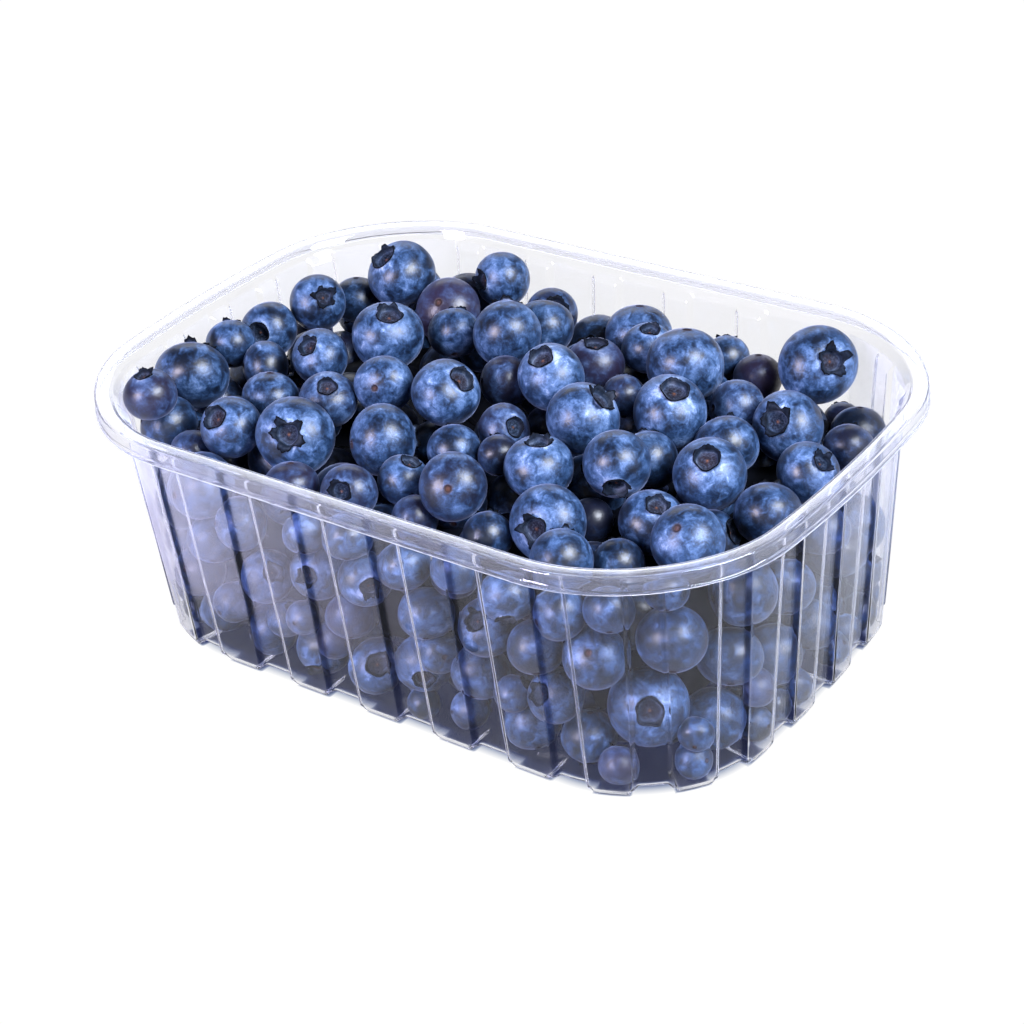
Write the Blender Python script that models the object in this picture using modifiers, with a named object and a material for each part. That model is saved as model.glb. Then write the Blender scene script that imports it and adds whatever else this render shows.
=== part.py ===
"""An open punnet of clear plastic, heaped with blueberries.

The punnet is one thin fluted shell with a flat rim and a turned-down skirt.
The berries are one closed solid, out to the uneven outline of the heap.
Metres, +Z up.  The origin is at the bottom centre, where the feet stand.
"""

import math

import bmesh
import bpy
from mathutils import Vector

# ---- driving dimensions ---------------------------------------------------
RIM_LENGTH = 0.190          # over the outer edge of the rim, along X
RIM_WIDTH = 0.133           # over the outer edge of the rim, along Y
RIM_HEIGHT = 0.0644         # top of the rim above the feet
END_BOW = 0.0066            # how far each short end bows out of the rectangle
CORNER_RADIUS = 0.038       # rim corner, seen from above

WALL = 0.0006               # thickness of the formed sheet
FLANGE = 0.0030             # width of the flat top of the rim
RIM_ROUND = 0.0004          # rounding of the rim's outer edge
SKIRT_DROP = 0.0042         # how far the skirt hangs below the rim's top
SKIRT_FLARE = 0.0003        # how far the skirt leans out on its way down

TOP_INSET = 0.0053          # flute face behind the rim's edge, at the top
FOOT_INSET = 0.0095         # flute face behind the rim's edge, at the foot
SHOULDER_DROP = 0.0034      # plain band between the rim and the flute tops
FLUTE_DEPTH = 0.0013        # how far a flute stands out of the wall
FLUTE_SHARE_TOP = 0.70      # share of each pitch that the flute takes up
FLUTE_SHARE_FOOT = 0.64
FLUTE_STEP = 0.0012         # run of each slanted side of a flute
LONG_PITCH = 0.0213
SHORT_PITCH = 0.0180
LONG_FLUTES = 5             # flutes on each long side
SHORT_FLUTES = 4            # flutes on each short side
CORNER_FLUTES = 2           # flutes round each corner

FOOT_HEIGHT = 0.0023        # the base panel's height above the feet
FOOT_LENGTH = 0.0060        # how far a foot runs in under the base
FOOT_ROUND = 0.0014         # setback of a foot's lower edge from the wall
FOOT_SLOPE = 0.0015         # run of a foot's inner end
BASE_EDGE = 0.0006          # run of the base's edge between two feet
FLUTE_TOP_RUN = 0.0012      # how far a flute ends below the plain band
SHOULDER_LEAN = 0.0005      # how far the plain band starts out of the flute faces
RECESS_TOP = RIM_HEIGHT - SHOULDER_DROP - 0.0020    # ends of the wall between two flutes
RECESS_FOOT = FOOT_HEIGHT + 0.0008

GAP = 0.0003                # clear space between the berries and the plastic
CHORD_ROOM = 0.0004         # more room, because both outlines turn in short chords
BERRY = 0.015               # diameter of a usual berry
HEAP_LEVEL = 0.0538         # level of the berries under the topmost ones, before their crown
HEAP_TILT_X = -0.070        # rise per metre towards +X (it is higher at -X)
HEAP_TILT_Y = 0.050         # rise per metre towards +Y
HEAP_CROWN = 0.0075         # how far the middle stands above the edge
BERRY_WANDER = 0.0015       # how far a berry of the under layer lies out of its row
HEAP_BELOW_SHOULDER = 0.006 # where the heap's sides turn upright, below the plain band
HEAP_FOOT_ROUND = 0.005     # how far the heap's lower edge is rounded off
HEAP_AROUND = 96            # points round the heap
HEAP_CELLS_X = 54           # cells of the top skin along X
HEAP_CELLS_Y = 38           # cells of the top skin along Y
HEAP_CUTTER_TOP = 0.090     # height past the tallest berry
HEAP_CUTTER_FOOT = -0.010   # height below the punnet

# The berries that stand out of the heap, in millimetres: x, y, height of the
# middle, diameter.
TOP_BERRIES = [
    (-58, 36, 62, 18), (-36, 50, 59, 15), (-70, 16, 60, 14), (-77, 4, 56, 15), (-78, -9, 58, 13),
    (-78, -24, 56, 18), (-72, -44, 62, 13), (-53, -38, 55, 15), (-35, -35, 56, 19), (-50, -7, 60, 14),
    (-38, -19, 57, 14), (-38, 5, 63, 18), (-27, -11, 60, 14), (-16, -26, 55, 17), (-10, -9, 61, 17),
    (-42, 34, 58, 17), (-29, 20, 59, 13), (-12, 19, 63, 17), (12, -36, 56, 16), (-18, 46, 55, 14),
    (-12, 34, 58, 15), (8, 9, 61, 16), (8, 27, 56, 14), (7, 48, 54, 17), (16, 38, 57, 13),
    (31, 32, 59, 19), (57, 49, 57, 19), (61, 28, 52, 17), (37, 15, 56, 18), (23, 0, 58, 18),
    (73, 16, 49, 15), (58, -2, 54, 17), (40, -12, 57, 16), (24, -20, 56, 16), (34, -31, 50, 18),
    (52, -17, 48, 15), (65, -23, 50, 17), (73, -2, 48, 16), (74, 33, 47, 13), (45, -42, 50, 14),
]

OUTLINE_STEPS = 1440        # fine points that the outline is measured on


# ---- outline of the rim ---------------------------------------------------
def rim_outline():
    """Fine points round the rim's outer edge, anticlockwise from +X."""
    half_x = RIM_LENGTH / 2 - END_BOW
    half_y = RIM_WIDTH / 2
    radius = CORNER_RADIUS
    straight_x = half_x - radius
    straight_y = half_y - radius
    corners = [
        (straight_x, straight_y, 0),
        (-straight_x, straight_y, 90),
        (-straight_x, -straight_y, 180),
        (straight_x, -straight_y, 270),
    ]
    points = []
    steps = OUTLINE_STEPS // 8
    for index, (cx, cy, start) in enumerate(corners):
        for k in range(steps + 1):
            angle = math.radians(start + 90 * k / steps)
            points.append(Vector((cx + radius * math.cos(angle), cy + radius * math.sin(angle))))
        next_cx, next_cy, next_start = corners[(index + 1) % 4]
        angle = math.radians(next_start)
        goal = Vector((next_cx + radius * math.cos(angle), next_cy + radius * math.sin(angle)))
        here = points[-1]
        for k in range(1, steps):
            points.append(here.lerp(goal, k / steps))
    for point in points:
        share = min(abs(point.y) / half_y, 1.0)
        reach = min(abs(point.x) / half_x, 1.0)
        point.x += math.copysign(END_BOW * (1 - share ** 2) * reach, point.x)
    return points


class Outline:
    """The rim's outline by length: a place on it, and the way out from it."""

    def __init__(self):
        fine = rim_outline()
        start = min(range(len(fine)), key=lambda i: (abs(fine[i].x), fine[i].y))
        self.points = fine[start:] + fine[:start]
        self.lengths = [0.0]
        for a, b in zip(self.points, self.points[1:] + self.points[:1]):
            self.lengths.append(self.lengths[-1] + (b - a).length)
        self.total = self.lengths[-1]

    def place(self, length):
        """Point and outward normal at a length from the middle of the -Y side."""
        length %= self.total
        low = 0
        high = len(self.points)
        while high - low > 1:
            middle = (low + high) // 2
            if self.lengths[middle] <= length:
                low = middle
            else:
                high = middle
        count = len(self.points)
        a = self.points[low]
        b = self.points[(low + 1) % count]
        share = (length - self.lengths[low]) / max(self.lengths[low + 1] - self.lengths[low], 1e-9)
        before = self.points[(low - 3) % count]
        after = self.points[(low + 4) % count]
        along = (after - before).normalized()
        return a.lerp(b, share), Vector((along.y, -along.x))


def flute_centres(outline):
    """Each flute's centre as a length along the outline, and its own pitch."""
    quarter = outline.total / 4
    half_long = [k * LONG_PITCH for k in range((LONG_FLUTES + 1) // 2)]
    half_short = [quarter - (k + 0.5) * SHORT_PITCH for k in range(SHORT_FLUTES // 2)]
    last_long = half_long[-1]
    first_short = half_short[-1]
    step = (first_short - last_long) / (CORNER_FLUTES + 1)
    corner = [last_long + step * (k + 1) for k in range(CORNER_FLUTES)]
    one_quarter = half_long + corner + sorted(half_short)
    centres = set()
    for length in one_quarter:
        for mirrored in (length, 2 * quarter - length, 2 * quarter + length, -length):
            centres.add(round(mirrored % outline.total, 7))
    return sorted(centres)


def stations(outline):
    """Lengths round the outline where the shell has its upright lines.

    Each entry is (length at the top, length at the foot, how far out the
    flute stands there, 0 or 1).
    """
    centres = flute_centres(outline)
    found = []
    count = len(centres)
    for index, centre in enumerate(centres):
        before = (centre - centres[index - 1]) % outline.total
        after = (centres[(index + 1) % count] - centre) % outline.total
        sides = []
        for share in (FLUTE_SHARE_TOP, FLUTE_SHARE_FOOT):
            left = before * share / 2
            right = after * share / 2
            sides.append((-left, -left + FLUTE_STEP, 0.0, right - FLUTE_STEP, right))
        for top, foot, out in zip(sides[0], sides[1], (0, 1, 1, 1, 0)):
            found.append((centre + top, centre + foot, out))
        found.append((centre + after / 2, centre + after / 2, 0))
    return found


# ---- the punnet -----------------------------------------------------------
def shell_rings(outline):
    """Rings of points over the shell's outer face, from the base to the skirt."""
    lines = stations(outline)
    base_inset = FOOT_INSET + FOOT_ROUND + FOOT_LENGTH
    recess = FLUTE_DEPTH

    def ring(face, plain):
        """face and plain are (inset, height, share of the way to the foot)."""
        points = []
        for top, foot, out in lines:
            inset, height, down = face if out else plain
            where, normal = outline.place(top + (foot - top) * down)
            flat = where - normal * inset
            points.append(Vector((flat.x, flat.y, height)))
        return points

    def plain_ring(inset, height, down=0):
        return ring((inset, height, down), (inset, height, down))

    # The loft runs over the sheet's outer face, which is the underside of the
    # rim and the hidden side of the skirt.
    upper = RIM_HEIGHT - SHOULDER_DROP
    under = RIM_HEIGHT - WALL
    low = FOOT_HEIGHT
    return [
        plain_ring(base_inset + FOOT_SLOPE, low, down=1),
        ring((base_inset, 0.0, 1), (base_inset, low, 1)),
        ring((FOOT_INSET + FOOT_ROUND, 0.0, 1), (FOOT_INSET + recess + BASE_EDGE, low, 1)),
        ring((FOOT_INSET, low, 1), (FOOT_INSET + recess, RECESS_FOOT, 1)),
        ring((TOP_INSET, upper - FLUTE_TOP_RUN, 0), (TOP_INSET + recess, RECESS_TOP, 0)),
        plain_ring(TOP_INSET - SHOULDER_LEAN, upper),
        plain_ring(FLANGE + WALL, under),
        plain_ring(WALL + RIM_ROUND, under),
        plain_ring(WALL, under - RIM_ROUND),
        plain_ring(WALL - SKIRT_FLARE, RIM_HEIGHT - SKIRT_DROP),
    ]


def loft(name, rings, close_first, close_last):
    """A mesh over rings with the same number of points; it may close its ends."""
    mesh = bpy.data.meshes.new(name)
    bm = bmesh.new()
    rows = []
    for ring in rings:
        rows.append([bm.verts.new(point) for point in ring])
    count = len(rings[0])
    for low, high in zip(rows, rows[1:]):
        for k in range(count):
            after = (k + 1) % count
            bm.faces.new((low[k], low[after], high[after], high[k]))
    if close_first:
        bm.faces.new(list(reversed(rows[0])))
    if close_last:
        bm.faces.new(rows[-1])
    bm.to_mesh(mesh)
    bm.free()
    return mesh


def add_object(name, mesh, material, collection):
    """Link a mesh as a named object with its material."""
    mesh.materials.append(material)
    thing = bpy.data.objects.new(name, mesh)
    collection.objects.link(thing)
    return thing


def make_punnet(outline, material, collection):
    """The formed shell: one open loft, given its sheet thickness inwards."""
    mesh = loft("punnet", shell_rings(outline), close_first=True, close_last=False)
    punnet = add_object("punnet", mesh, material, collection)
    mesh.shade_smooth()
    mesh.set_sharp_from_angle(angle=math.radians(25))
    sheet = punnet.modifiers.new("sheet", "SOLIDIFY")
    sheet.thickness = WALL
    sheet.offset = -1.0
    sheet.use_even_offset = True
    sheet.use_rim = True
    return punnet


# ---- the berries ----------------------------------------------------------
def under_layer(x, y):
    """Height of the berries under the topmost ones: a tilted mound with rows of bumps."""
    mound = HEAP_CROWN * max(0.0, 1 - (2 * x / RIM_LENGTH) ** 2 - (2 * y / RIM_WIDTH) ** 2)
    level = HEAP_LEVEL + HEAP_TILT_X * x + HEAP_TILT_Y * y + mound
    row_pitch = BERRY * math.sqrt(3) / 2
    radius = BERRY / 2
    best = 0.0
    row_here = round(y / row_pitch)
    for row in range(row_here - 1, row_here + 2):
        shift = radius if row % 2 else 0.0
        column_here = round((x - shift) / BERRY)
        for column in range(column_here - 1, column_here + 2):
            centre_x = column * BERRY + shift + BERRY_WANDER * math.sin(12.9 * row + 7.3 * column)
            centre_y = row * row_pitch + BERRY_WANDER * math.sin(4.7 * row - 9.1 * column)
            away = (x - centre_x) ** 2 + (y - centre_y) ** 2
            if away < radius ** 2:
                best = max(best, math.sqrt(radius ** 2 - away))
    return level + best - radius


def heap_skin(x, y):
    """Height of the heap's top skin: the topmost berries over the layer under them."""
    height = under_layer(x, y)
    for berry_x, berry_y, middle, diameter in TOP_BERRIES:
        radius = diameter / 2000
        away = (x - berry_x / 1000) ** 2 + (y - berry_y / 1000) ** 2
        if away < radius ** 2:
            height = max(height, middle / 1000 + math.sqrt(radius ** 2 - away))
    return height


def heap_body_rings(outline):
    """Rings of points up the space that the berries fill, past their top."""
    inner = FLUTE_DEPTH + WALL + GAP + CHORD_ROOM
    floor = FOOT_HEIGHT + WALL + GAP
    shoulder = RIM_HEIGHT - SHOULDER_DROP - HEAP_BELOW_SHOULDER

    def ring(height, more=0.0):
        share = (RECESS_TOP - min(height, shoulder)) / (RECESS_TOP - RECESS_FOOT)
        inset = TOP_INSET + (FOOT_INSET - TOP_INSET) * share + inner + more
        points = []
        for k in range(HEAP_AROUND):
            where, normal = outline.place(outline.total * k / HEAP_AROUND)
            flat = where - normal * inset
            points.append(Vector((flat.x, flat.y, height)))
        return points

    return [
        ring(floor, HEAP_FOOT_ROUND),
        ring(floor + HEAP_FOOT_ROUND),
        ring(shoulder),
        ring(HEAP_CUTTER_TOP),
    ]


def make_heap_cutter(collection):
    """A slab with the heap's bumpy top skin, wider than the punnet."""
    mesh = bpy.data.meshes.new("heap_cutter")
    bm = bmesh.new()
    bmesh.ops.create_grid(bm, x_segments=HEAP_CELLS_X, y_segments=HEAP_CELLS_Y, size=0.5)
    for vert in bm.verts:
        vert.co.x *= RIM_LENGTH
        vert.co.y *= RIM_WIDTH
        vert.co.z = heap_skin(vert.co.x, vert.co.y)
    below = bmesh.ops.extrude_face_region(bm, geom=list(bm.faces))
    for item in below["geom"]:
        if isinstance(item, bmesh.types.BMVert):
            item.co.z = HEAP_CUTTER_FOOT
    bmesh.ops.recalc_face_normals(bm, faces=bm.faces)
    bm.to_mesh(mesh)
    bm.free()
    cutter = bpy.data.objects.new("heap_cutter", mesh)
    cutter.hide_render = True
    cutter.display_type = "WIRE"
    collection.objects.link(cutter)
    return cutter


def make_heap(outline, material, collection, cutters):
    """The berries as one closed solid, out to their uneven outline."""
    mesh = loft("berry_heap", heap_body_rings(outline), close_first=True, close_last=True)
    heap = add_object("berry_heap", mesh, material, collection)
    skin = heap.modifiers.new("top_skin", "BOOLEAN")
    skin.operation = "INTERSECT"
    skin.object = make_heap_cutter(cutters)
    return heap


# ---- materials ------------------------------------------------------------
def make_material(name, colour, roughness, alpha=1.0):
    """A Principled material with a plain colour."""
    material = bpy.data.materials.new(name)
    material.use_nodes = True
    shader = material.node_tree.nodes["Principled BSDF"]
    shader.inputs["Base Color"].default_value = (*colour, 1.0)
    shader.inputs["Roughness"].default_value = roughness
    shader.inputs["Metallic"].default_value = 0.0
    shader.inputs["Alpha"].default_value = alpha
    return material


def clear_scene():
    """Start from an empty scene."""
    for thing in list(bpy.data.objects):
        bpy.data.objects.remove(thing, do_unlink=True)


def main():
    clear_scene()
    collection = bpy.data.collections.new("blueberry_punnet")
    bpy.context.scene.collection.children.link(collection)
    cutters = bpy.data.collections.new("cutters")
    bpy.context.scene.collection.children.link(cutters)
    plastic = make_material("clear_plastic", (0.90, 0.91, 0.93), 0.08, alpha=0.3)
    skin = make_material("blueberry_skin", (0.045, 0.060, 0.150), 0.45)
    outline = Outline()
    make_punnet(outline, plastic, collection)
    make_heap(outline, skin, collection, cutters)


main()
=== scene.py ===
"""An open punnet of clear plastic heaped with blueberries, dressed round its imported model.

Each berry is a mesh at its true size, and the punnet is one formed sheet.  Metres, +Z up.
"""
import math

import bmesh
import bpy
import numpy as np
from mathutils import Matrix, Vector


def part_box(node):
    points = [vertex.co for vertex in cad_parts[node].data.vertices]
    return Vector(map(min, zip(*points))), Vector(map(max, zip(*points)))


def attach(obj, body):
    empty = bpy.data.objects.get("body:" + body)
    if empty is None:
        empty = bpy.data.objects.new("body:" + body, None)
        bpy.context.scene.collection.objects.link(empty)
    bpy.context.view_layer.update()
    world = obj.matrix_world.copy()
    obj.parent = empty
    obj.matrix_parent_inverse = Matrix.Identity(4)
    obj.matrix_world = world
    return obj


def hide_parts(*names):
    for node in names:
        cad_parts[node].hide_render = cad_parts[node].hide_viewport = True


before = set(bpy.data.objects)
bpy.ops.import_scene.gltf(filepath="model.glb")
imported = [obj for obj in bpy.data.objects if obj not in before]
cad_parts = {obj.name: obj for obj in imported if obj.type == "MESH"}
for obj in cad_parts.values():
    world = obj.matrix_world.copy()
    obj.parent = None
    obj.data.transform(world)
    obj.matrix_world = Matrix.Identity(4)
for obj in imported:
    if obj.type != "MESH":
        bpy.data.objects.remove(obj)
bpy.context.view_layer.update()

MM = 0.001
SEED = 61173

# ---- the punnet's sizes, in metres ----------------------------------------
SHELL_LOW, SHELL_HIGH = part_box("punnet")
SKIRT_FLARE = 0.3 * MM              # how far the skirt stands out past the rim's edge
RIM_LENGTH = SHELL_HIGH.x - SHELL_LOW.x - 2 * SKIRT_FLARE
RIM_WIDTH = SHELL_HIGH.y - SHELL_LOW.y - 2 * SKIRT_FLARE
RIM_TOP = SHELL_HIGH.z
FEET = SHELL_LOW.z
END_BOW = 6.6 * MM                  # how far each short end bows out
CORNER_RADIUS = 38 * MM
WALL = 0.55 * MM                    # thickness of the formed sheet
FLANGE = 3.0 * MM                   # flat top of the rim
SKIRT_DROP = 4.2 * MM
SKIRT_STEP = 2.9 * MM               # height of the small step in the skirt, under the rim's top
SKIRT_STEP_AT_CORNERS = 3.9 * MM
TOP_INSET = 5.3 * MM                # flute face behind the rim's edge, at the top
FOOT_INSET = 9.5 * MM
SHOULDER = 3.4 * MM                 # plain band under the rim
FLUTE_DEPTH = 1.3 * MM
FLUTE_SHARES = (0.70, 0.64)         # share of each pitch that a flute takes up, at top and foot
FLUTE_STEP = 1.2 * MM               # run of a flute's slanted side
LONG_PITCH = 21.3 * MM
SHORT_PITCH = 18.0 * MM
CORNER_FLUTES = 2
BASE_LEVEL = FEET + 2.3 * MM        # the base panel stands this high on the feet
FOOT_LENGTH = 6.0 * MM
FOOT_ROUND = 1.4 * MM
RECESS_TOP = RIM_TOP - SHOULDER - 2.0 * MM
RECESS_FOOT = BASE_LEVEL + 0.8 * MM
FOOT_CORNER = BASE_LEVEL - FEET + 0.8 * MM      # width of each foot's round lower corners
NESTED_FROM = FEET + 17 * MM        # another punnet slides in down to this height
WANDER = 0.035 * MM                 # how far the formed sheet strays from flat
RUB_LEAST = 0.0005                  # haze of the sheet where nothing has rubbed it
RUB_EVERYWHERE = 0.010              # on the flats of the wall
RUB_TOWARDS_MINUS_X = 0.30                  # more of it on the -Y side towards -X
RUB_WORN = 0.15                     # and at the far end of the +X side
RUB_RIM = 0.06                      # and on the rim, where punnets are picked up and closed
NEAR_CORNER = np.array([0.62, -0.785])          # from the middle to the corner in front

# ---- the camera -----------------------------------------------------------
CAMERA_AZIMUTH = math.radians(38.24)
CAMERA_ELEVATION = math.radians(31.28)
CAMERA_ROLL = math.radians(-5.22)
CAMERA_DISTANCE = 562.6 * MM
CAMERA_AIM = Vector((1.4, -2.3, -4.4)) * MM     # from the middle of the punnet
CAMERA_LENS = 81.8                              # on a sensor 36 wide
CARD_GLOW = 1.02                    # the white ground as it is seen
CARD_THROW = 0.15                   # and as it lights and mirrors in the object


def linear(hex_colour):
    """An sRGB hex colour as linear RGBA."""
    channels = [int(hex_colour[k:k + 2], 16) / 255 for k in (1, 3, 5)]
    return [c / 12.92 if c <= 0.04045 else ((c + 0.055) / 1.055) ** 2.4 for c in channels] + [1.0]


# ---- camera and light -----------------------------------------------------
def camera_axes():
    """The camera's right, up and forward directions."""
    forward = Vector((
        -math.sin(CAMERA_AZIMUTH) * math.cos(CAMERA_ELEVATION),
        math.cos(CAMERA_AZIMUTH) * math.cos(CAMERA_ELEVATION),
        -math.sin(CAMERA_ELEVATION),
    ))
    level = Vector((math.cos(CAMERA_AZIMUTH), math.sin(CAMERA_AZIMUTH), 0))
    up = level.cross(forward)
    right = level * math.cos(CAMERA_ROLL) + up * math.sin(CAMERA_ROLL)
    return right, up * math.cos(CAMERA_ROLL) - level * math.sin(CAMERA_ROLL), forward


def make_camera():
    right, up, forward = camera_axes()
    data = bpy.data.cameras.new("camera")
    data.lens = CAMERA_LENS
    data.sensor_width = 36
    data.clip_start = 0.01
    data.clip_end = 20
    camera = bpy.data.objects.new("camera", data)
    bpy.context.scene.collection.objects.link(camera)
    aim = (SHELL_LOW + SHELL_HIGH) / 2 + CAMERA_AIM
    turn = Matrix((right, up, -forward)).transposed()
    camera.matrix_world = Matrix.Translation(aim - forward * CAMERA_DISTANCE) @ turn.to_4x4()
    bpy.context.scene.camera = camera


def make_soft_box(name, direction, distance, size, power, colour):
    """A square studio light, aimed at the middle of the punnet."""
    data = bpy.data.lights.new(name, "AREA")
    data.shape = "RECTANGLE"
    data.size, data.size_y = size
    data.energy = power
    data.color = linear(colour)[:3]
    lamp = bpy.data.objects.new(name, data)
    bpy.context.scene.collection.objects.link(lamp)
    direction = direction.normalized()
    lamp.location = (SHELL_LOW + SHELL_HIGH) / 2 + direction * distance
    lamp.rotation_mode = "QUATERNION"
    lamp.rotation_quaternion = (-direction).to_track_quat("-Z", "Y")


def make_studio():
    """Soft boxes left and right of the camera and one behind the punnet, in a pale room."""
    right, up, forward = camera_axes()
    behind = Vector((forward.x, forward.y, -forward.z))
    make_soft_box("soft_box_left", -0.72 * right + 0.03 * up - 0.69 * forward, 1.1,
                  (0.32, 0.40), 19.5, "#efe6ff")
    make_soft_box("soft_box_right", 0.52 * right + 0.36 * up - 0.78 * forward, 1.1,
                  (0.55, 0.50), 33.0, "#ebf2ff")
    make_soft_box("soft_box_behind", behind, 1.2, (1.1, 0.5), 4.5, "#f2f6ff")
    world = bpy.data.worlds.new("pale_room")
    bpy.context.scene.world = world
    world.use_nodes = True
    tree = world.node_tree
    # The room's walls are white, and its ceiling is dimmer.
    way = add(tree, "ShaderNodeTexCoord")
    height = add(tree, "ShaderNodeSeparateXYZ", links={0: way.outputs["Generated"]})
    room = add(tree, "ShaderNodeValToRGB", links={0: height.outputs["Z"]}, stops=[
        (0.04, 0.45), (0.25, 0.09), (0.80, 0.05)])
    seen = add(tree, "ShaderNodeMix", {"data_type": "RGBA"}, values={7: linear("#ffffff")},
               links={0: seen_directly(tree), 6: room.outputs["Color"]})
    tree.links.new(seen.outputs[2], tree.nodes["Background"].inputs["Color"])
    bpy.context.scene.view_settings.view_transform = "Standard"
    # Enough bounces to see through both sides of the punnet.
    for bounces in ("transmission_bounces", "transparent_max_bounces", "max_bounces"):
        setattr(bpy.context.scene.cycles, bounces, 12)


def make_table(rim):
    """A white table, evenly lit but for the shade right under the punnet."""
    lines = upright_lines(rim)
    lengths = lines[:, 1]
    count = len(lengths)
    outward = rim.outward(lengths)
    foot = 1 - foot_lift(rim, lines) / (BASE_LEVEL - FEET)
    rows = []
    lit = []
    # Each foot stands in its own shade, and the light reaches in a little between two feet.
    for out, light in ((2500, 1), (300, 1), (-10.7, 1), (-11.3, 1 - 0.8 * foot),
                       (-13.0, 0.7 - 0.6 * foot), (-16.0, 0)):
        flat = rim.place(lengths) + outward * out * MM
        rows.append(np.column_stack([flat, np.full(count, FEET)]))
        lit.append(np.broadcast_to(light, (count,)))
    faces = ring_quads(len(rows), count).tolist()
    faces.append([(len(rows) - 1) * count + k for k in range(count)])
    mesh = bpy.data.meshes.new("table")
    mesh.from_pydata(np.vstack(rows).tolist(), [], faces)
    layer = mesh.attributes.new("lit", "FLOAT", "POINT")
    layer.data.foreach_set("value", np.concatenate(lit).astype(np.float32))
    table = bpy.data.objects.new("table", mesh)
    bpy.context.scene.collection.objects.link(table)
    mesh.materials.append(make_white_card())


# ---- materials ------------------------------------------------------------
def add(tree, kind, settings=None, values=None, links=None, stops=None):
    """Adds a node with its settings, its socket values and its links."""
    made = tree.nodes.new(kind)
    for name, value in (settings or {}).items():
        setattr(made, name, value)
    for socket, value in (values or {}).items():
        made.inputs[socket].default_value = value
    for socket, source in (links or {}).items():
        tree.links.new(source, made.inputs[socket])
    if stops:
        ramp = made.color_ramp.elements
        while len(ramp) < len(stops):
            ramp.new(0.5)
        for element, (place, colour) in zip(ramp, stops):
            element.position = place
            element.color = linear(colour) if isinstance(colour, str) else [colour] * 3 + [1.0]
    return made


def seen_directly(tree):
    """1 where the ground or room is seen, bare or through the clear sheet; 0 where it lights."""
    path = add(tree, "ShaderNodeLightPath")
    seen = add(tree, "ShaderNodeMath", {"operation": "MAXIMUM"}, links={
        0: path.outputs["Is Camera Ray"], 1: path.outputs["Is Transmission Ray"]})
    straight = add(tree, "ShaderNodeMath", {"operation": "SUBTRACT", "use_clamp": True},
                   links={0: seen.outputs[0], 1: path.outputs["Diffuse Depth"]})
    return straight.outputs[0]


def new_material(name):
    material = bpy.data.materials.new(name)
    material.use_nodes = True
    material.node_tree.nodes.clear()
    return material, material.node_tree


def make_white_card():
    """White card, matt: a bright even ground, blue in the shade of the berries."""
    material, tree = new_material("white_card_matt")
    lit = add(tree, "ShaderNodeAttribute", {"attribute_name": "lit"})
    shade = add(tree, "ShaderNodeValToRGB", links={0: lit.outputs["Fac"]}, stops=[
        (0.0, "#101b42"), (0.2, "#26366a"), (0.5, "#9aa4bd"), (1.0, "#ffffff")])
    # The ground looks white, and throws less light up into the object.
    level = add(tree, "ShaderNodeMapRange", values={"To Min": CARD_THROW, "To Max": CARD_GLOW},
                links={"Value": seen_directly(tree)})
    card = add(tree, "ShaderNodeEmission", links={
        "Color": shade.outputs["Color"], "Strength": level.outputs["Result"]})
    add(tree, "ShaderNodeOutputMaterial", links={"Surface": card.outputs[0]})
    return material


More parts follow.
